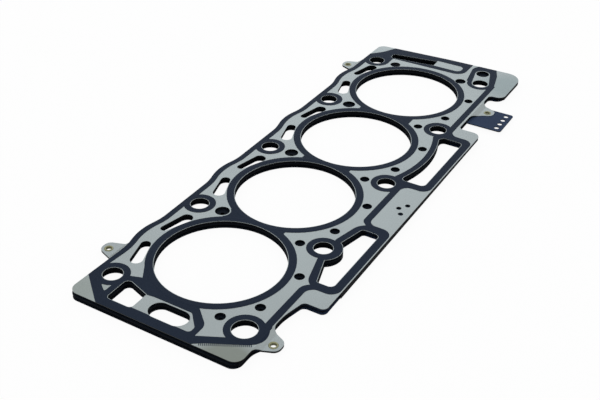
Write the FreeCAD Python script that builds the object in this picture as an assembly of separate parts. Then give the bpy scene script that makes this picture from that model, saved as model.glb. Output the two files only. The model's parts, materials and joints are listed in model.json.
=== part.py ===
import FreeCAD, Part
import math
import os

# Head gasket of a four-cylinder engine: three pressed steel sheets, the top one printed with a
# rubber coating, held together by four eyelets. It lies flat, block side down.
# Origin: axis of bore 1 on the resting face. +X runs along the bores, +Y points to the
# coolant side, +Z points up. All sizes are millimetres.

Vec = FreeCAD.Vector

# Bores and bolts
bore_r = 46.0
bore_count = 4
web_w = 6.0  # steel left between two bores
bolt_r = 7.0
bolt_out = 7.0  # from the line along the bores' sides to a row of bolts
bolt_shift = -0.7  # of the bolts between two bores
first_bolt_out = 4.5  # beyond the left side of bore 1
last_bolt_in = 1.0  # coolant side, short of the right side of the last bore
last_low_bolt = (4.5, 5.0)  # gallery side, beyond the last bore and below its side
dowel_hole_r = 8.6

# Sheets, from the resting face up
bottom_sheet_t = 0.4
carrier_t = 0.8
top_sheet_t = 0.4
sheet_gap = 2.2
coating_t = 0.1
lower_left_step = 0.5  # the two lower sheets stick out at the left
lower_near_inset = 1.0  # lie back along the gallery side, by bore 1
lower_far_inset = 2.6  # and more towards the right end
lower_slack = 1.4  # their coolant slots and bolt holes are wider all round
lower_end_slack = 2.4  # as are their end slot and the last bolt hole on the gallery side
lower_last_slack = 0.9  # but less the last one on the coolant side, near a slot
lower_oil_slack = 1.6  # and their oil openings reach further right

# Outline, as how far the edges lie outside the end bores and the rows of bolts
left_out = 33.0
right_out = 39.4
right_top_out = 31.5
right_bow = 2.6
right_bow_y = -5.0
right_bow_r = 100.0
side_out = 14.2
valley_out = 12.4
wave_height = 3.5
wave_half = 25.0
wave_shift = -1.5
gallery_w = 20.0
gallery_start = -9.2  # from the axis of bore 1
gallery_end = -38.2  # from the axis of the last bore
shoulder_run = 18.0
shoulder_drop = 4.0
shoulder_r = 40.0
foot_w = 12.5
foot_start = 32.5  # from the axis of the last bore
corner_r = 7.0
foot_corner_r = 14.0
inner_corner_r = 4.0

# Ears, as the eyelet's place along from a bore's axis and outside the edge
ear_high_left = (-28.0, 10.6)
ear_high_right = (25.9, 9.1)
ear_low_left = (-51.6, 7.6)
ear_low_right = (4.5, 9.2)
ear_shift = 1.1  # of the ear's middle from the eyelet
ear_tip = 5.5
ear_half = 10.4
ear_top_half = 4.6
ear_r = 5.5
ear_root_r = 7.0
ear_wide_root_r = 16.0
ear_overlap = 2.0
joggle = 4.0
eyelet_r = 2.2
eyelet_wall = 0.55
eyelet_lip = 1.1
eyelet_lip_t = 0.4
eyelet_clearance = 0.05

# Thickness tab with its row of holes, along from the axis of the last bore
tab_x = (-20.8, 12.4)
tab_out = 30.6
tab_corner_r = 2.5
tab_hole_r = 2.1
tab_hole_pitch = 7.6
tab_hole_count = 4
tab_hole_start = -15.4
tab_hole_in = 5.2

# Coolant holes, as (angle, distance outside the bore)
small_r = 3.7
small_holes = [(-119.2, 11.4), (-77.5, 10.5)]
small_vee = (-38.9, 11.5)
first_small = (-145.7, 12.9)
end_hole = (36.4, 10.5)
end_hole_r = 4.8
vee_hole_out = 13.1
vee_hole_r = 5.5
metering_r = 1.6  # of all these holes in the lower sheets
corner_hole_from_bolt = (20.0, 5.5)
corner_hole_r = 6.0
mark_r = 2.0
mark_middle = (22.4, 8.0)  # from the axis of bore 2, and inside the gallery edge
mark_spread = (6.2, 2.9)

# Coolant slots, as (angle, distance outside the bore, radius) of each end
slot_left = ((121.0, 11.86, 4.6), (103.06, 10.66, 3.7))
slot_right = ((80.54, 10.57, 3.0), (60.79, 11.17, 4.7))

# Oil openings: the ends along from web 1 or bore 3, the upper sides outside the bolts' row
gallery_margin = 7.2
first_oil = (-35.7, 33.2)
first_oil_flat = (-12.5, 11.3)
first_oil_out = 7.7
first_oil_ends = (14.8, 13.0)
second_oil = (-39.0, 37.6)
second_oil_out = 7.8
arch_x = -1.0
arch_out = 13.5
arch_r = 100.0
boss_r = 14.0
oil_corner_r = 4.0

# End openings, as (x, y, radius) corners beyond bore 1 or beyond the last bore
wedge = [(-25.7, 20.2, 3.0), (-9.9, 20.2, 1.0), (-3.2, 40.8, 3.5), (-25.7, 40.8, 2.8)]
oblong = [(-25.3, -19.0, 7.4), (-10.3, -19.0, 7.4), (-10.3, 10.8, 7.4), (-25.3, 10.8, 7.4)]
end_slot = [(16.8, 1.8, 1.0), (27.0, 1.8, 1.0), (20.2, 44.8, 3.0), (11.2, 44.8, 3.0)]

# Printed coating
ring_w = 6.0
bolt_ring_w = 5.1
band_w = 4.8
edge_rim_w = 0.8  # steel left bare along the gallery edge and round the last bolt
rim_w = 0.35  # steel left bare round every other hole
vee_rim_w = 1.0  # and round the coolant holes between two bores
low_pads = [20.6, 20.6, 27.2]  # reach of the pads between the rings, web by web
high_pads = [29.0, 22.0, 22.0]

carrier_z = bottom_sheet_t + sheet_gap
top_z = carrier_z + carrier_t + sheet_gap
coating_z = top_z + top_sheet_t

bore_pitch = 2 * bore_r + web_w
bores = [bore_pitch * i for i in range(bore_count)]
webs = [x + bore_pitch / 2 for x in bores[:-1]]
last = bores[-1]
left = bores[0] - bore_r
right = last + bore_r
bolt_y = bore_r + bolt_out
valley_y = bolt_y + valley_out
side_y = bolt_y + side_out
gallery_y = side_y + gallery_w
edge_left = left - left_out
edge_right = right + right_out
gallery_left = bores[0] + gallery_start
gallery_right = last + gallery_end
low_corner_bolt = (right + last_low_bolt[0], -bore_r - last_low_bolt[1])
corner_hole = (low_corner_bolt[0] + corner_hole_from_bolt[0],
               low_corner_bolt[1] + corner_hole_from_bolt[1])
vee_hole_y = math.sqrt((bore_r + vee_hole_out) ** 2 - (bore_pitch / 2) ** 2)
ears = [
    (bores[0] + ear_high_left[0], valley_y + ear_high_left[1]),
    (last + ear_high_right[0], valley_y + ear_high_right[1]),
    (bores[0] + ear_low_left[0], -side_y - ear_low_left[1]),
    (last + ear_low_right[0], -side_y - ear_low_right[1]),
]


def rounded(points):
    """Closed wire through (x, y, radius) corners, each corner rounded by its radius."""
    ends = []
    count = len(points)
    for i in range(count):
        x, y, r = points[i]
        here = Vec(x, y, 0)
        before = Vec(points[i - 1][0], points[i - 1][1], 0).sub(here)
        after = Vec(points[(i + 1) % count][0], points[(i + 1) % count][1], 0).sub(here)
        before.normalize()
        after.normalize()
        half = before.getAngle(after) / 2
        if r <= 0 or abs(half - math.pi / 2) < 1e-6:
            ends.append((here, None, here))
            continue
        reach = r / math.tan(half)
        inward = before.add(after)
        inward.normalize()
        middle = here.add(inward.multiply(r / math.sin(half) - r))
        start = here.add(before.multiply(reach))
        end = here.add(after.multiply(reach))
        ends.append((start, middle, end))
    edges = []
    for i in range(count):
        start, middle, end = ends[i]
        if middle is not None:
            edges.append(Part.Arc(start, middle, end).toShape())
        following = ends[(i + 1) % count][0]
        if end.distanceToPoint(following) > 1e-6:
            edges.append(Part.LineSegment(end, following).toShape())
    return Part.Wire(edges)


def tapered(first, second):
    """Closed wire round two circles, each (x, y, radius), and the straight tangents between them."""
    (x1, y1, r1), (x2, y2, r2) = first, second
    turn = math.atan2(y2 - y1, x2 - x1)
    spread = math.acos((r1 - r2) / math.hypot(x2 - x1, y2 - y1))

    def at(x, y, r, angle):
        return Vec(x + r * math.cos(angle), y + r * math.sin(angle), 0)

    high1 = at(x1, y1, r1, turn + spread)
    low1 = at(x1, y1, r1, turn - spread)
    high2 = at(x2, y2, r2, turn + spread)
    low2 = at(x2, y2, r2, turn - spread)
    return Part.Wire([
        Part.Arc(high1, at(x1, y1, r1, turn + math.pi), low1).toShape(),
        Part.LineSegment(low1, low2).toShape(),
        Part.Arc(low2, at(x2, y2, r2, turn), high2).toShape(),
        Part.LineSegment(high2, high1).toShape(),
    ])


def moved(corners, x, y=0.0):
    return [(x + cx, y + cy, r) for cx, cy, r in corners]


def prism(wire, z, height):
    solid = Part.Face(wire).extrude(Vec(0, 0, height))
    solid.translate(Vec(0, 0, z))
    return solid


def disc(x, y, r, z, height):
    return Part.makeCylinder(r, height, Vec(x, y, z))


def round_bore(x, angle, out, r):
    """Circle placed by its angle round the bore at x and its distance outside it."""
    turn = math.radians(angle)
    return (x + (bore_r + out) * math.cos(turn), (bore_r + out) * math.sin(turn), r)


def bolts(slack=0.0, last_slack=0.0, end_slack=0.0):
    """Centre and radius of each bolt hole: the coolant-side row, then the gallery-side row."""
    middle = [x + bolt_shift for x in webs]
    first = left - first_bolt_out
    high = [(x, bolt_y, bolt_r + slack) for x in [first] + middle]
    high.append((right - last_bolt_in, bolt_y, bolt_r + last_slack))
    low = [(first, -bolt_y, dowel_hole_r + slack)]
    low += [(x, -bolt_y, bolt_r + slack) for x in middle]
    low.append(low_corner_bolt + (bolt_r + end_slack,))
    return high + low


def wave():
    """Corners of the coolant-side edge, one low wave over each bore, from right to left."""
    r = (wave_half ** 2 + wave_height ** 2) / (4 * wave_height)
    slope = math.asin(wave_half / 2 / r)
    base = wave_half - r * math.tan(slope / 2)
    crest = valley_y + base * math.tan(slope)
    corners = []
    for x in reversed(bores):
        middle = x + wave_shift
        corners += [(middle + base, valley_y, r), (middle, crest, r), (middle - base, valley_y, r)]
    return corners


def body_outline(step=0.0, near=0.0, far=0.0):
    """Sheet outline without the ears, moved out by step at the left, and back along the gallery
    side by near at bore 1 and by far at the right end."""
    low_y = -side_y + near
    foot_y = -side_y - foot_w + far
    foot_left = last + foot_start + far
    high_right = right + right_top_out - far
    low = [
        (edge_left - step, low_y, corner_r),
        (gallery_left + near - shoulder_run, low_y, shoulder_r),
        (gallery_left + near, low_y - shoulder_drop, inner_corner_r),
        (gallery_left + near, -gallery_y + near, inner_corner_r),
        (gallery_right - far, -gallery_y + far, corner_r),
        (gallery_right - far, low_y, inner_corner_r),
        (foot_left, low_y, inner_corner_r),
        (foot_left, foot_y, corner_r),
        (edge_right - far, foot_y, foot_corner_r),
        (edge_right - right_bow - far, right_bow_y, right_bow_r),
        (high_right, valley_y, corner_r),
    ]
    return rounded(low + wave() + [(edge_left - step, side_y, corner_r)])


def lower_outline():
    return body_outline(lower_left_step, lower_near_inset, lower_far_inset)


def ear(eyelet_x, y, z, thickness, rise, inset, left_root_r):
    """An ear of the sheet at height z that steps by rise onto the sheet beside it."""
    x = eyelet_x + ear_shift
    out = math.copysign(1, y)
    base = valley_y if out > 0 else inset - side_y
    inside = base - out * ear_overlap
    tip = y + out * ear_tip
    spread = ear_half + left_root_r
    outline = rounded([
        (x - spread, inside, 0), (x - spread, base, 0),
        (x - ear_half, base, left_root_r), (x - ear_top_half, tip, ear_r),
        (x + ear_top_half, tip, ear_r), (x + ear_half, base, ear_root_r),
        (x + spread, base, 0), (x + spread, inside, 0),
    ])
    line = [(inside, z), (base, z), (base + out * joggle, z + rise), (tip + out, z + rise)]
    under = [Vec(x - 2 * spread, across, height) for across, height in line]
    over = [Vec(p.x, p.y, p.z + thickness) for p in reversed(under)]
    profile = Part.Face(Part.makePolygon(under + over + [under[0]]))
    bent = profile.extrude(Vec(4 * spread, 0, 0))
    return bent.common(prism(outline, z - abs(rise) - 1, thickness + 2 * abs(rise) + 2))


def all_ears(z, thickness, rise, inset):
    roots = [ear_root_r, ear_root_r, ear_root_r, ear_wide_root_r]
    return [ear(x, y, z, thickness, rise, inset, root) for (x, y), root in zip(ears, roots)]


def widened(wire, rim):
    return wire.makeOffset2D(rim) if rim else wire


def oil_openings(z, height, rim=0.0, slack=0.0):
    """The two long oil openings, one round a bolt boss and one with an arched side."""
    low = -gallery_y + gallery_margin
    x0, x1 = webs[0] + first_oil[0], webs[0] + first_oil[1] + slack
    flat0, flat1 = (webs[0] + x for x in first_oil_flat)
    end0, end1 = (-bolt_y - out for out in first_oil_ends)
    top = -bolt_y - first_oil_out
    first = rounded([
        (x0, low, oil_corner_r), (x1, low, oil_corner_r), (x1, end1, 3),
        (flat1, top, 0), (flat0, top, 0), (x0, end0, 2),
    ])
    x0, x1 = bores[2] + second_oil[0], bores[2] + second_oil[1] + slack
    top = -bolt_y - second_oil_out
    second = rounded([
        (x0, low, oil_corner_r), (x1, low, oil_corner_r),
        (x1, top, oil_corner_r), (x0, top, 3),
    ])
    boss = disc(webs[0] + bolt_shift, -bolt_y, boss_r - rim, z, height)
    return [prism(widened(first, rim), z, height).cut(boss),
            prism(widened(second, rim), z, height).cut(arch(arch_r - rim, z, height))]


def arch(r, z, height):
    return disc(bores[2] + arch_x, arch_r - bolt_y - arch_out, r, z, height)


def end_openings(z, height, rim=0.0, slack=0.0):
    """Wedge and oblong at the left end, long slot at the right end."""
    outlines = [(moved(wedge, left), rim), (moved(oblong, left), rim),
                (moved(end_slot, right), rim + slack)]
    return [prism(widened(rounded(corners), out), z, height) for corners, out in outlines]


def coolant_slots(z, height, slack=0.0):
    """Two slots over each bore, trimmed round the coated ring."""
    slots = []
    for x in bores:
        ring = disc(x, 0, bore_r + ring_w - slack, z, height)
        for ends in (slot_left, slot_right):
            wire = tapered(*(round_bore(x, angle, out, r + slack) for angle, out, r in ends))
            slots.append(prism(wire, z, height).cut(ring))
    return slots


def discs(holes, z, height):
    return [disc(x, y, r, z, height) for x, y, r in holes]


def top_openings(z, height):
    return (discs(bolts(), z, height) + coolant_slots(z, height)
            + oil_openings(z, height) + end_openings(z, height))


def lower_openings(z, height):
    return (discs(bolts(lower_slack, lower_last_slack, lower_end_slack), z, height)
            + coolant_slots(z, height, lower_slack)
            + oil_openings(z, height, slack=lower_oil_slack)
            + end_openings(z, height, slack=lower_end_slack))


def coolant_holes():
    """Round coolant holes as (x, y, radius)."""
    holes = [(x, vee_hole_y, vee_hole_r) for x in webs]
    angle, out = end_hole
    holes += [round_bore(last, turn, out, end_hole_r) for turn in (angle, -angle)]
    holes.append(round_bore(bores[0], *first_small, small_r))
    holes += [round_bore(x, *place, small_r) for x in bores for place in small_holes]
    holes += [round_bore(x, *small_vee, small_r) for x in bores[:-1]]
    return holes


def metering_holes():
    return [(x, y, metering_r) for x, y, r in coolant_holes()]


def sheet(z, thickness, rise, holes, lower=True, extra=None):
    """A full sheet with its ears stepped by rise, cut by every opening."""
    outline = lower_outline() if lower else body_outline()
    openings = lower_openings if lower else top_openings
    body = prism(outline, z, thickness)
    parts = all_ears(z, thickness, rise, lower_near_inset if lower else 0)
    if extra:
        parts.append(prism(extra, z, thickness))
    body = body.multiFuse(parts).removeSplitter()
    low = z - abs(rise) - 1
    height = thickness + 2 * abs(rise) + 2
    tools = [disc(x, 0, bore_r, low, height) for x in bores] + discs(holes, low, height)
    tools += [disc(x, y, eyelet_r + eyelet_clearance, low, height) for x, y in ears]
    return body.cut(tools + openings(low, height))


def top_sheet():
    x = bores[1] + mark_middle[0]
    y = -gallery_y + mark_middle[1]
    dx, dy = mark_spread
    marks = [(x - dx, y - dy / 2, mark_r), (x, y + dy, mark_r), (x + dx, y - dy / 2, mark_r)]
    holes = coolant_holes() + [corner_hole + (corner_hole_r,)] + marks
    return sheet(top_z, top_sheet_t, -sheet_gap, holes, lower=False)


def carrier_sheet():
    """Thick middle sheet, with the tab that tells the thickness."""
    x0, x1 = (last + x for x in tab_x)
    inside = -side_y + inner_corner_r
    end = -side_y - tab_out
    tab = rounded([(x0, inside, 0), (x0, end, tab_corner_r), (x1, end, tab_corner_r), (x1, inside, 0)])
    start = last + tab_hole_start
    row = [(start + tab_hole_pitch * i, end + tab_hole_in, tab_hole_r) for i in range(tab_hole_count)]
    return sheet(carrier_z, carrier_t, 0, metering_holes() + row, extra=tab)


def bottom_sheet():
    return sheet(0, bottom_sheet_t, sheet_gap, metering_holes())


def left_print():
    """Print at the left end: round the wedge and the oblong, and out to the edge."""
    upper = [(-33, -33, 0), (-25.6, -30.1, 0), (-14.5, -30.1, 8), (-3.4, -17.9, 0), (6, 0, 0),
             (15.5, 41.8, 0), (2.6, 33.4, 0), (-0.4, 42.2, 0), (4, 47, 0), (1, 67.5, 0),
             (-12.6, 67.5, 4), (-33, 43.5, 3)]
    lower = [(-33, -32, 0), (-28, -39, 0), (-15.6, -63, 6), (-9.5, -70.2, 6), (0.5, -69, 4),
             (7, -66.3, 0), (-6, -60, 0), (-16, -49, 0), (-25.6, -30.1, 0), (-28, -26, 0)]
    return [moved(upper, left), moved(lower, left)]


def wave_band():
    """Narrow print along the coolant-side edge."""
    outer = [(right + 7, valley_y, 0)] + wave() + [(left - 11, valley_y + 3, 0)]
    inner = [(x, y - band_w, r) for x, y, r in reversed(outer)]
    return outer + inner


def gallery_print():
    """Print round the first oil opening and along the edge to either side of it."""
    near = [(-51, -13.4, 0), (5.9, -13.4, 7), (5.9, -25, 0), (12, -25, 0), (12, -16, 0),
            (4.5, -8.1, 9), (-51, -8.1, 0)]
    low = edge_rim_w - gallery_w - side_out
    opening = [(-43.1, low, 8), (41.4, low, 8), (41.4, -9.3, 14), (13, -2.6, 0), (-13, -2.4, 0),
               (-43.1, -10.2, 13)]
    from_web = [(37, -15, 0), (37, -25, 0), (41.4, -25, 0), (41.4, -13.3, 6)]
    to_bore = [(-46.5, -13.3, 7), (-46.5, -25, 0), (-38, -25, 0), (-38, -2, 0), (-50, -2, 0),
               (-56, -8.0, 0)]
    far = [(37, -25, 0), (44.9, -25, 0), (44.9, -12.4, 7)]
    to_right = [(5, -12.2, 0), (5, -7.0, 0)]
    return [
        moved(near, bores[0], -bolt_y),
        moved(opening, webs[0], -bolt_y),
        moved(from_web, webs[0], -bolt_y) + moved(to_bore, bores[2], -bolt_y)
        + moved([(43, -8.0, 6)], webs[0], -bolt_y),
        moved(far, bores[2], -bolt_y) + moved(to_right, right, -bolt_y)
        + moved([(37, -7.2, 0)], bores[2], -bolt_y),
    ]


def right_print():
    """Print at the right end: round the last bolt and round the long slot."""
    corner = [(4, -11.6, 0), (26, -6.2, 0), (41, 0, 0), (41, 15, 8), (31, 20, 10), (4, 15.3, 0)]
    slot = [(-1, 66, 0), (-1, 41.2, 0), (10.4, 41.2, 1), (11.4, -30.5, 10), (41, -30.5, 0),
            (41, 46, 0), (31.5, 50, 0), (19, 56.2, 20), (8, 66, 0)]
    return [moved(corner, right, -bolt_y), moved(slot, right)]


def web_pads():
    """Pads that fill the notch between two rings, each end as wide as the notch is there."""
    pads = []
    for x, low, high in zip(webs, low_pads, high_pads):
        low_half, high_half = (bore_pitch / 2 - math.sqrt((bore_r + ring_w) ** 2 - y ** 2)
                               for y in (low, high))
        pads.append([(x - low_half, -low, 0), (x + low_half, -low, 0),
                     (x + high_half, high, 0), (x - high_half, high, 0)])
    return pads


def arch_print(z, height):
    """Print round the second oil opening, with the opening's arched side."""
    low = edge_rim_w - gallery_w - side_out
    block = [(-46.5, low, 8), (44.9, low, 8), (44.9, -1.5, 0), (-46.5, -1.5, 0)]
    return prism(rounded(moved(block, bores[2], -bolt_y)), z, height).cut(arch(arch_r - 5, z, height))


def bare_windows():
    """Steel windows that the print at the two ends leaves open."""
    triangle = [(-13.4, 45.8, 0.8), (-16.7, 52.6, 0.8), (-21.6, 45.8, 0.8)]
    island = [(-25.0, 20.6, 0), (-25.0, -25.6, 2.6), (-19.6, -25.6, 2.6), (-9.2, -16, 3),
              (-9.2, 14, 0), (-10.0, 20.6, 0)]
    patch = [(17.0, 2.2, 0), (17.0, -25.2, 4.8), (28.6, -25.2, 4.5), (28.6, 2.2, 0)]
    return [rounded(moved(triangle, left)), rounded(moved(island, left)), rounded(moved(patch, right))]


def top_coating():
    z = coating_z
    outlines = left_print() + [wave_band()] + gallery_print() + right_print()
    fields = [prism(rounded(corners), z, coating_t) for corners in outlines]
    fields.append(arch_print(z, coating_t))
    body = fields[0].multiFuse(fields[1:])
    low = z - 1
    height = coating_t + 2
    body = body.cut([prism(wire, low, height) for wire in bare_windows()])
    rings = [disc(x, 0, bore_r + ring_w, z, coating_t) for x in bores]
    rings += [disc(x, y, r + bolt_ring_w, z, coating_t) for x, y, r in bolts()]
    rings += [prism(rounded(corners), z, coating_t) for corners in web_pads()]
    body = body.multiFuse(rings).removeSplitter()
    body = body.common(prism(body_outline(), z, coating_t))
    tools = [disc(x, 0, bore_r + rim_w, low, height) for x in bores]
    tools += [disc(x, y, r + rim_w, low, height) for x, y, r in bolts() + coolant_holes()]
    tools += [disc(x, vee_hole_y, vee_hole_r + vee_rim_w, low, height) for x in webs]
    window = tapered(low_corner_bolt + (bolt_r + edge_rim_w,), corner_hole + (corner_hole_r + edge_rim_w,))
    tools.append(prism(window, low, height))
    tools += coolant_slots(low, height)
    tools += oil_openings(low, height, rim_w) + end_openings(low, height, rim_w)
    return body.cut(tools).removeSplitter()


def eyelet(x, y):
    """Turned-over brass tube through the pinched ears."""
    low = carrier_z - bottom_sheet_t
    high = carrier_z + carrier_t + top_sheet_t
    inner = eyelet_r - eyelet_wall
    outer = eyelet_r + eyelet_lip
    points = [
        Vec(inner, 0, low - eyelet_lip_t), Vec(outer, 0, low - eyelet_lip_t), Vec(outer, 0, low),
        Vec(eyelet_r, 0, low), Vec(eyelet_r, 0, high), Vec(outer, 0, high),
        Vec(inner + eyelet_wall, 0, high + eyelet_lip_t), Vec(inner, 0, high),
    ]
    solid = Part.Face(Part.makePolygon(points + points[:1])).revolve(Vec(0, 0, 0), Vec(0, 0, 1), 360)
    solid.translate(Vec(x, y, 0))
    return solid


def save(name, shape):
    print(name, shape.isValid(), len(shape.Solids), round(shape.Volume, 1))
    shape.exportStep("parts/%s.step" % name)


os.makedirs("parts", exist_ok=True)
save("top_sheet", top_sheet())
save("carrier_sheet", carrier_sheet())
save("bottom_sheet", bottom_sheet())
save("top_coating", top_coating())
for number, (x, y) in enumerate(ears, 1):
    save("eyelet_%d" % number, eyelet(x, y))
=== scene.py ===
import json
import math

import bpy
import numpy as np
from mathutils import Matrix, Vector


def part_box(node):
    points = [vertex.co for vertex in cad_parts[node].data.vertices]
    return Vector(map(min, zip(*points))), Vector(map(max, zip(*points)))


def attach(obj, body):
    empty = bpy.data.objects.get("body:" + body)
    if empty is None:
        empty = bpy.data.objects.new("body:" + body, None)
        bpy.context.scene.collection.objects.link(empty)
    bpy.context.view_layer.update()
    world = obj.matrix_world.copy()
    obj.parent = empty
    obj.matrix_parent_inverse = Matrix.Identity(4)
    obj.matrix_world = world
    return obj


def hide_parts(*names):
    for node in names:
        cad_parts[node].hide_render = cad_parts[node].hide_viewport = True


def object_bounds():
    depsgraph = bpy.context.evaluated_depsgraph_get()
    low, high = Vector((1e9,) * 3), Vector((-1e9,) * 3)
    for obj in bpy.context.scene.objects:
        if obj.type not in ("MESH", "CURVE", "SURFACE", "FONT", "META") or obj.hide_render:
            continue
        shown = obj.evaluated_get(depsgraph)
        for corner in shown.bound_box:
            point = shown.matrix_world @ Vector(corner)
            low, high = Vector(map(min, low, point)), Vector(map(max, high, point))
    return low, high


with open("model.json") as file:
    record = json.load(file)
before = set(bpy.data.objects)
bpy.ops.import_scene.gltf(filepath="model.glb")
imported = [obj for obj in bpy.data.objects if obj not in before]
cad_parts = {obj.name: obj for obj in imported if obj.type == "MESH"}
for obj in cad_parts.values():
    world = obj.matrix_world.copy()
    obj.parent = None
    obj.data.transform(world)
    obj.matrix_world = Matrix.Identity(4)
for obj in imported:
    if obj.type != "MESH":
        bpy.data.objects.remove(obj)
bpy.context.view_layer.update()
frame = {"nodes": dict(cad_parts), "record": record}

# Head gasket lying on a white table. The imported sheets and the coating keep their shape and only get
# their finish. The eyelets are turned finer over the CAD ones. The finest print, the beads between
# the sheets and the rims under the edge are added. Lengths are metres.

nodes = frame["nodes"]
mounts = frame["record"]["mounts"]
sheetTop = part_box("top_sheet")[1][2]
thinSheet = 0.0004  # thickness of the top and the bottom sheet
millimetres = 1000  # in a metre
print("frame loaded:", sorted(nodes))

# holes without a mount, as x and y
dowelHole = (-0.0505, -0.0530)
lastLowHole = (0.3445, -0.0510)


def newObject(name, data):
    thing = bpy.data.objects.new(name, data)
    bpy.context.collection.objects.link(thing)
    return thing


# camera, at the photograph's place; heights are above the printed face
cameraSettings = {
    "place": (-0.4116, -0.3049, 0.3914),
    "target": (0.0910, -0.0089, 0.0),
    "roll": 0.64,  # degrees, anticlockwise
    "lens": 56.2,
    "sensor": 36.0,
    "shift": (-0.00083, 0.00083),  # half a pixel of the photograph, right and down
    "nearest": 0.01,  # distance from which it sees
}


def placeCamera():
    s = cameraSettings
    data = bpy.data.cameras.new("camera")
    data.lens = s["lens"]
    data.sensor_width = s["sensor"]
    data.shift_x, data.shift_y = s["shift"]
    data.clip_start = s["nearest"]
    lift = Vector((0.0, 0.0, sheetTop))
    place = Vector(s["place"]) + lift
    target = Vector(s["target"]) + lift
    look = (target - place).to_track_quat("-Z", "Y").to_matrix().to_4x4()
    roll = Matrix.Rotation(math.radians(s["roll"]), 4, "Z")
    camera = newObject("camera", data)
    camera.matrix_world = Matrix.Translation(place) @ look @ roll
    bpy.context.scene.camera = camera


placeCamera()
print("camera placed")


# helpers for node trees
mixFirst, mixSecond, mixResult = 6, 7, 2  # colour sockets of a Mix node
noiseMiddle = 0.5


def opaque(colour):
    return colour + (1.0,)


def addNode(tree, kind, **values):
    node = tree.nodes.new(kind)
    for key, value in values.items():
        setattr(node, key, value)
    return node


# links a socket, or sets it to a plain value
def feed(tree, socket, value):
    if isinstance(value, bpy.types.NodeSocket):
        tree.links.new(value, socket)
    else:
        socket.default_value = value


def addMath(tree, operation, *values, clamp=False):
    node = addNode(tree, "ShaderNodeMath", operation=operation, use_clamp=clamp)
    for socket, value in zip(node.inputs, values):
        feed(tree, socket, value)
    return node.outputs[0]


def addNoise(tree, position, scale, detail):
    noise = addNode(tree, "ShaderNodeTexNoise")
    feed(tree, noise.inputs["Vector"], position)
    feed(tree, noise.inputs["Scale"], scale)
    feed(tree, noise.inputs["Detail"], detail)
    return noise.outputs["Fac"]


def splitVector(tree, vector):
    split = addNode(tree, "ShaderNodeSeparateXYZ")
    feed(tree, split.inputs[0], vector)
    return split.outputs


# group whose inputs are vectors or numbers, as their first values are, and whose outputs are numbers
def newGroup(name, inputs, outputs):
    group = bpy.data.node_groups.new(name, "ShaderNodeTree")
    for label, first in inputs.items():
        kind = "NodeSocketVector" if isinstance(first, tuple) else "NodeSocketFloat"
        socket = group.interface.new_socket(name=label, in_out="INPUT", socket_type=kind)
        socket.default_value = first
    for label in outputs:
        group.interface.new_socket(name=label, in_out="OUTPUT", socket_type="NodeSocketFloat")
    inside = addNode(group, "NodeGroupInput").outputs
    outside = addNode(group, "NodeGroupOutput").inputs
    return group, inside, outside


def useGroup(tree, group, values):
    node = addNode(tree, "ShaderNodeGroup", node_tree=group)
    for label, value in values.items():
        feed(tree, node.inputs[label], value)
    return node.outputs


# mottle: a value round one, from slow clouds and fine speckle
mottleSettings = {"cloudDetail": 3.0, "speckleDetail": 2.0}


def mottleGroup():
    s = mottleSettings
    inputs = {"Vector": (0, 0, 0), "Cloud Scale": 20.0, "Cloud Amount": 0.08,
              "Speckle Scale": 900.0, "Speckle Amount": 0.08}
    group, inside, outside = newGroup("mottle", inputs, ["Value", "Speckle"])
    cloud = addNoise(group, inside["Vector"], inside["Cloud Scale"], s["cloudDetail"])
    speckle = addNoise(group, inside["Vector"], inside["Speckle Scale"], s["speckleDetail"])
    cloudOff = addMath(group, "SUBTRACT", cloud, noiseMiddle)
    speckleOff = addMath(group, "SUBTRACT", speckle, noiseMiddle)
    slow = addMath(group, "MULTIPLY_ADD", cloudOff, inside["Cloud Amount"], 1.0)
    total = addMath(group, "MULTIPLY_ADD", speckleOff, inside["Speckle Amount"], slow)
    feed(group, outside["Value"], total)
    feed(group, outside["Speckle"], speckle)
    return group


# ridge pressed up under the print round each bore: its height is nought beside the ridge, rises evenly
# towards the middle of it and is rounded off at the crest
ridgeSettings = {
    "out": 0.0039,  # from the bore's rim to the middle
    "halfWidth": 0.0013,
    "crest": 0.8,
    "rounding": 0.3,
}


def ridgeGroup():
    s = ridgeSettings
    group, inside, outside = newGroup("boreRidges", {"Vector": (0, 0, 0)}, ["Height"])
    point = splitVector(group, inside["Vector"])
    highest = 0.0
    for mount in mounts:
        if mount["kind"] != "bore":
            continue
        x, y = mount["pos_m"][:2]
        radius = mount["dims"]["r_mm"] / millimetres + s["out"]
        across = addMath(group, "SUBTRACT", point["X"], x)
        along = addMath(group, "SUBTRACT", point["Y"], y)
        square = addMath(group, "MULTIPLY_ADD", along, along, addMath(group, "MULTIPLY", across, across))
        distance = addMath(group, "SQRT", square)
        off = addMath(group, "ABSOLUTE", addMath(group, "SUBTRACT", distance, radius))
        near = addMath(group, "MULTIPLY_ADD", off, -1 / s["halfWidth"], 1.0, clamp=True)
        ridge = addMath(group, "SMOOTH_MIN", near, s["crest"], s["rounding"])
        highest = addMath(group, "MAXIMUM", ridge, highest)
    feed(group, outside["Height"], highest)
    return group


# painted shade on cut edges: the mask is one on faces that stand upright and nought on the flat ones, and
# the materials darken those faces with it as painted shade
flatAbove = 0.5  # height of a flat face's normal


def edgeShadeGroup():
    group, inside, outside = newGroup("paintedEdgeShade", {"Normal": (0, 0, 1)}, ["Mask"])
    level = addMath(group, "ABSOLUTE", splitVector(group, inside["Normal"])["Z"])
    feed(group, outside["Mask"], addMath(group, "LESS_THAN", level, flatAbove))
    return group


mottle = mottleGroup()
boreRidges = ridgeGroup()
paintedEdgeShade = edgeShadeGroup()


def newMaterial(name):
    material = bpy.data.materials.new(name)
    material.use_nodes = True
    tree = material.node_tree
    coordinates = addNode(tree, "ShaderNodeTexCoord")
    return material, tree, tree.nodes["Principled BSDF"], coordinates.outputs


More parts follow.
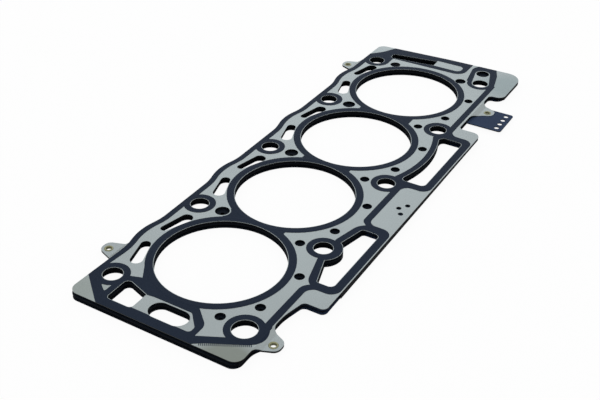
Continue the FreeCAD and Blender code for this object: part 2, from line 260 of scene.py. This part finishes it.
# colour multiplied by a value
def tint(tree, colour, value):
    mix = addNode(tree, "ShaderNodeMix", data_type="RGBA", blend_type="MULTIPLY")
    mix.inputs["Factor"].default_value = 1.0
    feed(tree, mix.inputs[mixFirst], colour)
    feed(tree, mix.inputs[mixSecond], value)
    return mix.outputs[mixResult]


# first colour where the factor is nought, second where it is one
def blend(tree, factor, first, second):
    mix = addNode(tree, "ShaderNodeMix", data_type="RGBA")
    feed(tree, mix.inputs["Factor"], factor)
    feed(tree, mix.inputs[mixFirst], first)
    feed(tree, mix.inputs[mixSecond], second)
    return mix.outputs[mixResult]


def addBump(tree, height, strength, distance, normal=None):
    bump = addNode(tree, "ShaderNodeBump")
    bump.inputs["Strength"].default_value = strength
    bump.inputs["Distance"].default_value = distance
    feed(tree, bump.inputs["Height"], height)
    if normal:
        feed(tree, bump.inputs["Normal"], normal)
    return bump.outputs["Normal"]


bareSteelSettings = {
    "colour": (0.332, 0.370, 0.374),
    # painted shade: on its upright cut edges the steel keeps only this share of its colour
    "edgeShade": 0.18,  # share of the colour left on the cut edges
    "metallic": 0.75,
    "roughness": 0.42,
    "mottle": {"Cloud Scale": 14.0, "Cloud Amount": 0.16, "Speckle Scale": 1500.0, "Speckle Amount": 0.42},
    "grainStretch": (40.0, 1400.0, 40.0),  # it runs along x
    "grainScale": 1.0,
    "grainDetail": 3.0,
    "grainBump": {"strength": 0.25, "distance": 0.00002},
}
# where the steel's colour is darker: full is the radius of the plain darker colour, and gone is where it
# ends
darkerPlaces = [
    {"centre": (-0.086, -0.060, 0.0), "full": 0.019, "gone": 0.028, "colour": (0.213, 0.235, 0.211)},
    {"centre": (-0.076, 0.062, 0.0), "full": 0.010, "gone": 0.030, "colour": (0.279, 0.314, 0.300)},
    {"centre": (0.352, -0.075, 0.0), "full": 0.015, "gone": 0.032, "colour": (0.262, 0.316, 0.322)},
    {"centre": (0.356, -0.0655, 0.0), "full": 0.0015, "gone": 0.0065, "colour": (0.205, 0.228, 0.245)},
]


def bareSteel():
    material, tree, shader, coordinates = newMaterial("bareSteel")
    s = bareSteelSettings
    position = coordinates["Object"]
    patches = useGroup(tree, mottle, {"Vector": position, **s["mottle"]})
    colour = opaque(s["colour"])
    for place in darkerPlaces:
        distance = addNode(tree, "ShaderNodeVectorMath", operation="DISTANCE")
        feed(tree, distance.inputs[0], position)
        feed(tree, distance.inputs[1], place["centre"])
        fade = 1 / (place["gone"] - place["full"])
        darkening = addMath(tree, "MULTIPLY_ADD", distance.outputs["Value"], -fade, place["gone"] * fade,
                       clamp=True)
        colour = blend(tree, darkening, colour, opaque(place["colour"]))
    # painted shade: the upright cut edges are darkened
    edge = useGroup(tree, paintedEdgeShade, {"Normal": coordinates["Normal"]})
    shade = addMath(tree, "MULTIPLY_ADD", edge["Mask"], s["edgeShade"] - 1.0, 1.0)
    value = addMath(tree, "MULTIPLY", patches["Value"], shade)
    feed(tree, shader.inputs["Base Color"], tint(tree, colour, value))
    shader.inputs["Metallic"].default_value = s["metallic"]
    shader.inputs["Roughness"].default_value = s["roughness"]
    stretch = addNode(tree, "ShaderNodeMapping")
    stretch.inputs["Scale"].default_value = s["grainStretch"]
    feed(tree, stretch.inputs["Vector"], position)
    grain = addNoise(tree, stretch.outputs["Vector"], s["grainScale"], s["grainDetail"])
    feed(tree, shader.inputs["Normal"], addBump(tree, grain, **s["grainBump"]))
    return material


# the two dark coatings; ridge is the height of the ridges round the bores, and between is a painted shade:
# the darker colour given to the coated steel between the sheets, away from the tab
coatings = {
    "printedRubber": {"colour": (0.0190, 0.0288, 0.0500), "ridge": 0.0001},
    "coatedSteel": {"colour": (0.034, 0.055, 0.110), "between": (0.012, 0.016, 0.024)},
}
coatingSettings = {
    "roughness": 0.55,
    "specular": 0.04,
    # painted shade: near-black colour put on the coated sheets' upright cut edges
    "edgeShadeColour": (0.0025, 0.0030, 0.0045),
    "tabStart": -0.0675,  # y where the tab comes out from between the sheets
    "mottle": {"Cloud Scale": 30.0, "Cloud Amount": 0.25, "Speckle Scale": 1200.0, "Speckle Amount": 0.35},
    "speckleBump": {"strength": 0.35, "distance": 0.00004},
    "ridgeStrength": 1.0,
}


def coated(name):
    material, tree, shader, coordinates = newMaterial(name)
    own = coatings[name]
    s = coatingSettings
    position = coordinates["Object"]
    patches = useGroup(tree, mottle, {"Vector": position, **s["mottle"]})
    edge = useGroup(tree, paintedEdgeShade, {"Normal": coordinates["Normal"]})
    colour = opaque(own["colour"])
    # painted shade: beyond tabStart, where the coat lies between the sheets, it takes the darker between
    # colour
    if "between" in own:
        inner = addMath(tree, "GREATER_THAN", splitVector(tree, position)["Y"], s["tabStart"])
        colour = blend(tree, inner, colour, opaque(own["between"]))
    face = tint(tree, colour, patches["Value"])
    # painted shade: upright faces take the near-black edge shade colour
    feed(tree, shader.inputs["Base Color"], blend(tree, edge["Mask"], face, opaque(s["edgeShadeColour"])))
    shader.inputs["Roughness"].default_value = s["roughness"]
    shader.inputs["Specular IOR Level"].default_value = s["specular"]
    normal = addBump(tree, patches["Speckle"], **s["speckleBump"])
    if "ridge" in own:
        ridges = useGroup(tree, boreRidges, {"Vector": position})
        normal = addBump(tree, ridges["Height"], s["ridgeStrength"], own["ridge"], normal)
    feed(tree, shader.inputs["Normal"], normal)
    return material


brassSettings = {
    "colour": (0.225, 0.225, 0.135),
    "metallic": 1.0,
    "roughness": 0.32,
    "mottle": {"Cloud Scale": 500.0, "Cloud Amount": 0.7, "Speckle Scale": 4000.0, "Speckle Amount": 0.15},
}


def brass():
    material, tree, shader, coordinates = newMaterial("eyeletBrass")
    s = brassSettings
    patches = useGroup(tree, mottle, {"Vector": coordinates["Object"], **s["mottle"]})
    feed(tree, shader.inputs["Base Color"], tint(tree, opaque(s["colour"]), patches["Value"]))
    shader.inputs["Metallic"].default_value = s["metallic"]
    shader.inputs["Roughness"].default_value = s["roughness"]
    return material


finishes = {
    "top_sheet": bareSteel(),
    "carrier_sheet": coated("coatedSteel"),
    "top_coating": coated("printedRubber"),
    "eyelet": brass(),
}
finishes["bottom_sheet"] = finishes["carrier_sheet"]


def dress(node, material):
    node.data.materials.clear()
    node.data.materials.append(material)


for name, node in nodes.items():
    dress(node, finishes.get(name, finishes["eyelet"]))
print("finishes set")


# helpers for pieces
sharpAngle = 50  # degrees between faces, past which the edge of a turned piece stays sharp


def newPiece(name, points, faces, finish):
    mesh = bpy.data.meshes.new(name)
    mesh.from_pydata(points.tolist(), [], faces.tolist())
    piece = newObject(name, mesh)
    dress(piece, finishes[finish])
    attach(piece, "root")
    return piece


# quads of a grid whose rows (round the profile) and columns (round the loop) both close
def ringFaces(rows, around):
    i, j = np.meshgrid(np.arange(rows), np.arange(around), indexing="ij")
    nextRow, nextColumn = (i + 1) % rows, (j + 1) % around
    return np.stack([i * around + nextColumn, nextRow * around + nextColumn, nextRow * around + j,
                     i * around + j], axis=2).reshape(-1, 4)


# surfaces of revolution of a closed profile, one for each place (x, y, radius added to the profile's):
# a point is x + radius * cos(angle), y + radius * sin(angle) and the profile's height
def turned(name, profile, places, around, finish):
    angle = np.linspace(0.0, 2 * math.pi, around, endpoint=False)
    x, y, more = np.array(places).T[:, :, None, None]
    radius = profile[None, :, :1] + more
    height = profile[None, :, 1:] + 0 * more
    points = np.stack([x + radius * np.cos(angle), y + radius * np.sin(angle), height + 0 * angle],
                      axis=3).reshape(-1, 3)
    start = np.arange(len(places))[:, None, None] * len(profile) * around
    faces = start + ringFaces(len(profile), around)
    piece = newPiece(name, points, faces.reshape(-1, 4), finish)
    piece.data.shade_smooth()
    piece.data.set_sharp_from_angle(angle=math.radians(sharpAngle))
    return piece


# eyelets, each turned from one profile over its CAD tube
eyeletSettings = {
    "around": 48,
    "lipSteps": 12,
    "lipHeight": 0.00045,
    "holeShare": 0.58,  # of the lip's radius
    "barrelShare": 0.70,
}


# closed profile of an eyelet as (radius, height): a half ellipse over the upper lip, the straight
# bore, a half ellipse under the lower lip and the barrel between the lips
def eyeletProfile(outer, low, high):
    s = eyeletSettings
    inner = outer * s["holeShare"]
    middle = (outer + inner) / 2
    half = (outer - inner) / 2
    turn = np.linspace(0.0, math.pi, s["lipSteps"])
    upper = np.column_stack([middle + half * np.cos(turn), high + s["lipHeight"] * np.sin(turn)])
    lower = np.column_stack([middle - half * np.cos(turn), low - s["lipHeight"] * np.sin(turn)])
    barrel = outer * s["barrelShare"]
    return np.vstack([upper, lower, [(barrel, low), (barrel, high)]])


def makeEyelet(number):
    cadName = "eyelet_%d" % number
    low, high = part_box(cadName)
    centre = ((low[0] + high[0]) / 2, (low[1] + high[1]) / 2)
    outer = (high[0] - low[0]) / 2
    lip = eyeletSettings["lipHeight"]
    profile = eyeletProfile(outer, low[2] + lip, high[2] - lip)
    piece = turned("eyeletTurned%d" % number, profile, [centre + (0.0,)], eyeletSettings["around"],
                   "eyelet")
    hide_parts(cadName)


for number in (1, 2, 3, 4):
    makeEyelet(number)
print("eyelets turned")


# comb of short printed ticks along the slanting edge of the print at the left end
tickSettings = {
    "first": (-0.0756, -0.0362),
    "last": (-0.0602, -0.0645),
    "count": 28,
    "width": 0.00055,
    "length": 0.0022,
    "lift": 0.00003,
}


# row of flat rectangles: each starts on the line from first to last, and points square to it
def makeTicks():
    s = tickSettings
    start, end = np.array(s["first"]), np.array(s["last"])
    along = (end - start) / np.linalg.norm(end - start)
    out = np.array([along[1], -along[0]])
    base = start + np.linspace(0.0, 1.0, s["count"])[:, None] * (end - start)
    half = along * s["width"] / 2
    reach = out * s["length"]
    corners = np.stack([base - half, base - half + reach, base + half + reach, base + half], axis=1)
    height = np.full(corners.shape[:2] + (1,), sheetTop + s["lift"])
    points = np.concatenate([corners, height], axis=2).reshape(-1, 3)
    newPiece("printTicks", points, np.arange(len(points)).reshape(-1, 4), "top_coating")


makeTicks()
print("ticks printed")


# print round the dowel hole where it runs out onto the bent ear
dowelPrint = {
    "radius": 0.0159,
    "edge": -0.0672,  # y where the ear starts to bend down
    "slope": 0.55,
    "thickness": 0.0001,
    "rimLift": 0.00001,  # of its lower rim over the steel
    "reach": 0.96,  # share of the turn to each end of the chord
    "across": 32,
    "steps": 6,
}


# field between a chord and its arc: along the chord by u, out to the arc by v; the height follows the
# bend, so it falls by the slope times the distance beyond the edge, and the last row is the rim
def makeDowelPrint():
    s = dowelPrint
    x0, y0 = dowelHole
    halfChord = math.sqrt(s["radius"] ** 2 - (s["edge"] - y0) ** 2)
    rows = np.append(np.linspace(0.0, 1.0, s["steps"]), 1.0)
    lift = np.append(np.full(s["steps"], s["thickness"]), s["rimLift"])[:, None]
    u, v = np.meshgrid(np.linspace(-s["reach"], s["reach"], s["across"]), rows)
    x = halfChord * np.sin(u * math.pi / 2)
    arc = y0 - np.sqrt(s["radius"] ** 2 - x ** 2)
    y = s["edge"] + (arc - s["edge"]) * v
    z = sheetTop + lift - s["slope"] * (s["edge"] - y)
    points = np.stack([x0 + x, y, z], axis=2).reshape(-1, 3)
    i, j = np.meshgrid(np.arange(len(rows) - 1), np.arange(s["across"] - 1), indexing="ij")
    corner = i * s["across"] + j
    faces = np.stack([corner, corner + s["across"], corner + s["across"] + 1, corner + 1], axis=2)
    newPiece("dowelPrint", points, faces.reshape(-1, 4), "top_coating")


makeDowelPrint()
print("dowel print laid")


# beads pressed into the sheets round the bores and holes and inside the edge; they bridge the gaps
# between the sheets
# painted shade: the beads' steep walls take the carrier's darkened edge colour
beadSettings = {
    "beyondBolt": 0.0015,
    "beyondBore": 0.0008,
    "run": 0.0012,  # outward from foot to top
    "wall": 0.0003,
    "clear": 0.00002,  # of the sheets
    "around": 96,
    "otherHoles": [dowelHole + (0.0101,), lastLowHole + (0.0095,)],  # with the bead's radius
}
# corners of the bead inside the edge, anticlockwise
edgeBead = [
    (-0.0756, -0.0653), (-0.0240, -0.0653), (-0.0054, -0.0700), (-0.0054, -0.0832), (0.2503, -0.0823),
    (0.2503, -0.0644), (0.3320, -0.0644), (0.3320, -0.0743), (0.3732, -0.0743), (0.3716, -0.0050),
    (0.3654, 0.0632), (-0.0756, 0.0632),
]


# x, y and bead radius of every bore and of the holes of every bolt pattern
def beadPlaces():
    s = beadSettings
    places = set(s["otherHoles"])
    for mount in mounts:
        x, y = mount["pos_m"][:2]
        dims = mount["dims"]
        if mount["kind"] == "bore":
            places.add((x, y, dims["r_mm"] / millimetres + s["beyondBore"]))
        if mount["kind"] == "bolt_pattern":
            halfX = dims.get("spacing_x_mm", 0) / millimetres / 2
            halfY = dims.get("spacing_y_mm", 0) / millimetres / 2
            radius = dims["hole_r_mm"] / millimetres + s["beyondBolt"]
            places |= {(x + side * halfX, y + end * halfY, radius) for side in (-1, 1) for end in (-1, 1)}
    return sorted(places)


# lower and upper height of a wall from foot to top, clear of the sheets
def wallHeights(foot, top):
    return min(foot, top) + beadSettings["clear"], max(foot, top) - beadSettings["clear"]


# conical walls whose radius grows by the run from foot to top
def makeRoundBeads(name, foot, top):
    s = beadSettings
    low, high = wallHeights(foot, top)
    lean = s["run"] if top > foot else 0.0
    profile = np.array([(s["run"] - lean, low), (s["run"] - lean + s["wall"], low),
                        (lean + s["wall"], high), (lean, high)])
    turned(name, profile, beadPlaces(), s["around"], "carrier_sheet")


# upright wall round the edge: a corner moves out by wall times (n1 + n2) / (1 + n1 . n2), where n1
# and n2 are the outward normals of the sides that meet there
def makeEdgeBead(name, foot, top):
    low, high = wallHeights(foot, top)
    corners = np.array(edgeBead)
    side = np.roll(corners, -1, axis=0) - corners
    normal = np.column_stack([side[:, 1], -side[:, 0]]) / np.linalg.norm(side, axis=1)[:, None]
    before = np.roll(normal, 1, axis=0)
    move = (before + normal) / (1 + (before * normal).sum(axis=1))[:, None]
    outer = corners + beadSettings["wall"] * move
    rows = [(corners, low), (outer, low), (outer, high), (corners, high)]
    points = np.vstack([np.column_stack([loop, np.full(len(loop), z)]) for loop, z in rows])
    newPiece(name, points, ringFaces(len(rows), len(corners)), "carrier_sheet")


carrierLow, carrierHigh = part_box("carrier_sheet")
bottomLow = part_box("bottom_sheet")[0][2]
upperGap = (carrierHigh[2], sheetTop - thinSheet)
lowerGap = (carrierLow[2], bottomLow + thinSheet)
makeRoundBeads("upperBeads", *upperGap)
makeRoundBeads("lowerBeads", *lowerGap)
makeEdgeBead("upperEdgeBead", *upperGap)
makeEdgeBead("lowerEdgeBead", *lowerGap)
print("beads pressed")


# rims under the top sheet's edge on the gallery side and the foot, where the lower sheets close up to
# it; each path runs anticlockwise through its start and its arcs (centre, radius, first and last
# angle in degrees), and reach is the depth of its lower edge under the sheet's top at either end
# painted shade: the rims' upright faces take the carrier's darkened edge colour, which makes a dark line
# under the top sheet's edge
edgeRims = {
    "galleryRim": {
        "start": [(0.0120, -0.0871)],
        "arcs": [((0.2488, -0.0802), 0.0069, 270, 315)],
        "reach": (0.0053, 0.0027),
    },
    "footRim": {
        "start": [],
        "arcs": [((0.3335, -0.0727), 0.0069, 225, 270), ((0.3654, -0.0657), 0.0139, 270, 315)],
        "reach": (0.0034, 0.0034),
    },
}
rimSettings = {"wall": 0.0003, "arcSteps": 9}


def arcPoints(centre, radius, first, last):
    angle = np.radians(np.linspace(first, last, rimSettings["arcSteps"]))
    return np.column_stack([centre[0] + radius * np.cos(angle), centre[1] + radius * np.sin(angle)])


# strip of four-cornered section, closed at both ends: it reaches from the top sheet's underside to the
# height sheetTop - reach, with reach changing evenly along x
def makeRim(name):
    s = edgeRims[name]
    outer = np.vstack([np.array(s["start"]).reshape(-1, 2)] + [arcPoints(*arc) for arc in s["arcs"]])
    along = np.gradient(outer, axis=0)
    along /= np.linalg.norm(along, axis=1)[:, None]
    inner = outer - rimSettings["wall"] * np.column_stack([along[:, 1], -along[:, 0]])
    low = sheetTop - np.interp(outer[:, 0], outer[[0, -1], 0], s["reach"])
    high = np.full(len(outer), sheetTop - thinSheet - beadSettings["clear"])
    rows = [(inner, low), (outer, low), (outer, high), (inner, high)]
    points = np.vstack([np.column_stack([line, z]) for line, z in rows])
    count = len(outer)
    faces = ringFaces(len(rows), count).reshape(len(rows), count, 4)[:, :-1].reshape(-1, 4)
    cap = np.arange(len(rows)) * count
    faces = np.vstack([faces, cap, cap[::-1] + count - 1])
    newPiece(name, points, faces, "carrier_sheet")


for name in edgeRims:
    makeRim(name)
print("rims closed")


# table and light
studio = {
    "tableHalf": 3.0,
    "tableDrop": 0.0001,  # below the gasket
    "tableColour": (0.80, 0.80, 0.80),
    "tableWhite": 0.9,  # share of plain white that the camera sees
    "tableGloss": 0.3,  # and that reflections see
    "whiteStrength": 1.04,
    "skyColour": (1.0, 1.0, 1.0),
    "skyStrength": 0.62,  # on matt surfaces; it is plain white where it is seen
    "lampsAim": (0.15, 0.0, 0.0),
}
lamps = {
    "farSoftbox": {"place": (1.7, 0.95, 0.80), "size": 1.3, "power": 3.0, "colour": (0.82, 0.92, 1.0)},
    "highSoftbox": {"place": (0.2, 0.5, 1.8), "size": 1.6, "power": 1.0, "colour": (1.0, 1.0, 1.0)},
}


# one on rays that the camera sends out, also through something clear
def seenDirectly(tree, seen):
    return addMath(tree, "MAXIMUM", seen["Is Camera Ray"], seen["Is Transmission Ray"])


def tableWhite():
    material = bpy.data.materials.new("tableWhite")
    material.use_nodes = True
    tree = material.node_tree
    tree.nodes.clear()
    output = addNode(tree, "ShaderNodeOutputMaterial")
    matt = addNode(tree, "ShaderNodeBsdfDiffuse")
    matt.inputs["Color"].default_value = opaque(studio["tableColour"])
    white = addNode(tree, "ShaderNodeEmission")
    white.inputs["Strength"].default_value = studio["whiteStrength"]
    seen = addNode(tree, "ShaderNodeLightPath").outputs
    gloss = addMath(tree, "MULTIPLY", seen["Is Glossy Ray"], studio["tableGloss"])
    share = addMath(tree, "MULTIPLY_ADD", seenDirectly(tree, seen), studio["tableWhite"], gloss)
    mix = addNode(tree, "ShaderNodeMixShader")
    feed(tree, mix.inputs["Fac"], share)
    feed(tree, mix.inputs[1], matt.outputs[0])
    feed(tree, mix.inputs[2], white.outputs[0])
    feed(tree, output.inputs["Surface"], mix.outputs[0])
    return material


def makeTable():
    h = studio["tableHalf"]
    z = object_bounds()[0][2] - studio["tableDrop"]
    mesh = bpy.data.meshes.new("table")
    mesh.from_pydata([(-h, -h, z), (h, -h, z), (h, h, z), (-h, h, z)], [], [(0, 1, 2, 3)])
    table = newObject("table", mesh)
    mesh.materials.append(tableWhite())


def makeSky():
    world = bpy.data.worlds.new("studio")
    bpy.context.scene.world = world
    world.use_nodes = True
    tree = world.node_tree
    background = tree.nodes["Background"]
    seen = addNode(tree, "ShaderNodeLightPath").outputs
    direct = addMath(tree, "MAXIMUM", seenDirectly(tree, seen), seen["Is Glossy Ray"])
    strength = addMath(tree, "MULTIPLY_ADD", direct, 1.0 - studio["skyStrength"], studio["skyStrength"])
    feed(tree, background.inputs["Strength"], strength)
    background.inputs["Color"].default_value = opaque(studio["skyColour"])


def hangLamp(name):
    s = lamps[name]
    lamp = bpy.data.lights.new(name, "AREA")
    lamp.energy = s["power"]
    lamp.color = s["colour"]
    lamp.size = s["size"]
    softbox = newObject(name, lamp)
    softbox.location = s["place"]
    aim = Vector(studio["lampsAim"]) - Vector(s["place"])
    softbox.rotation_euler = aim.to_track_quat("-Z", "Y").to_euler()


makeTable()
makeSky()
for name in lamps:
    hangLamp(name)
bpy.context.scene.view_settings.view_transform = "Standard"
print("studio lit")
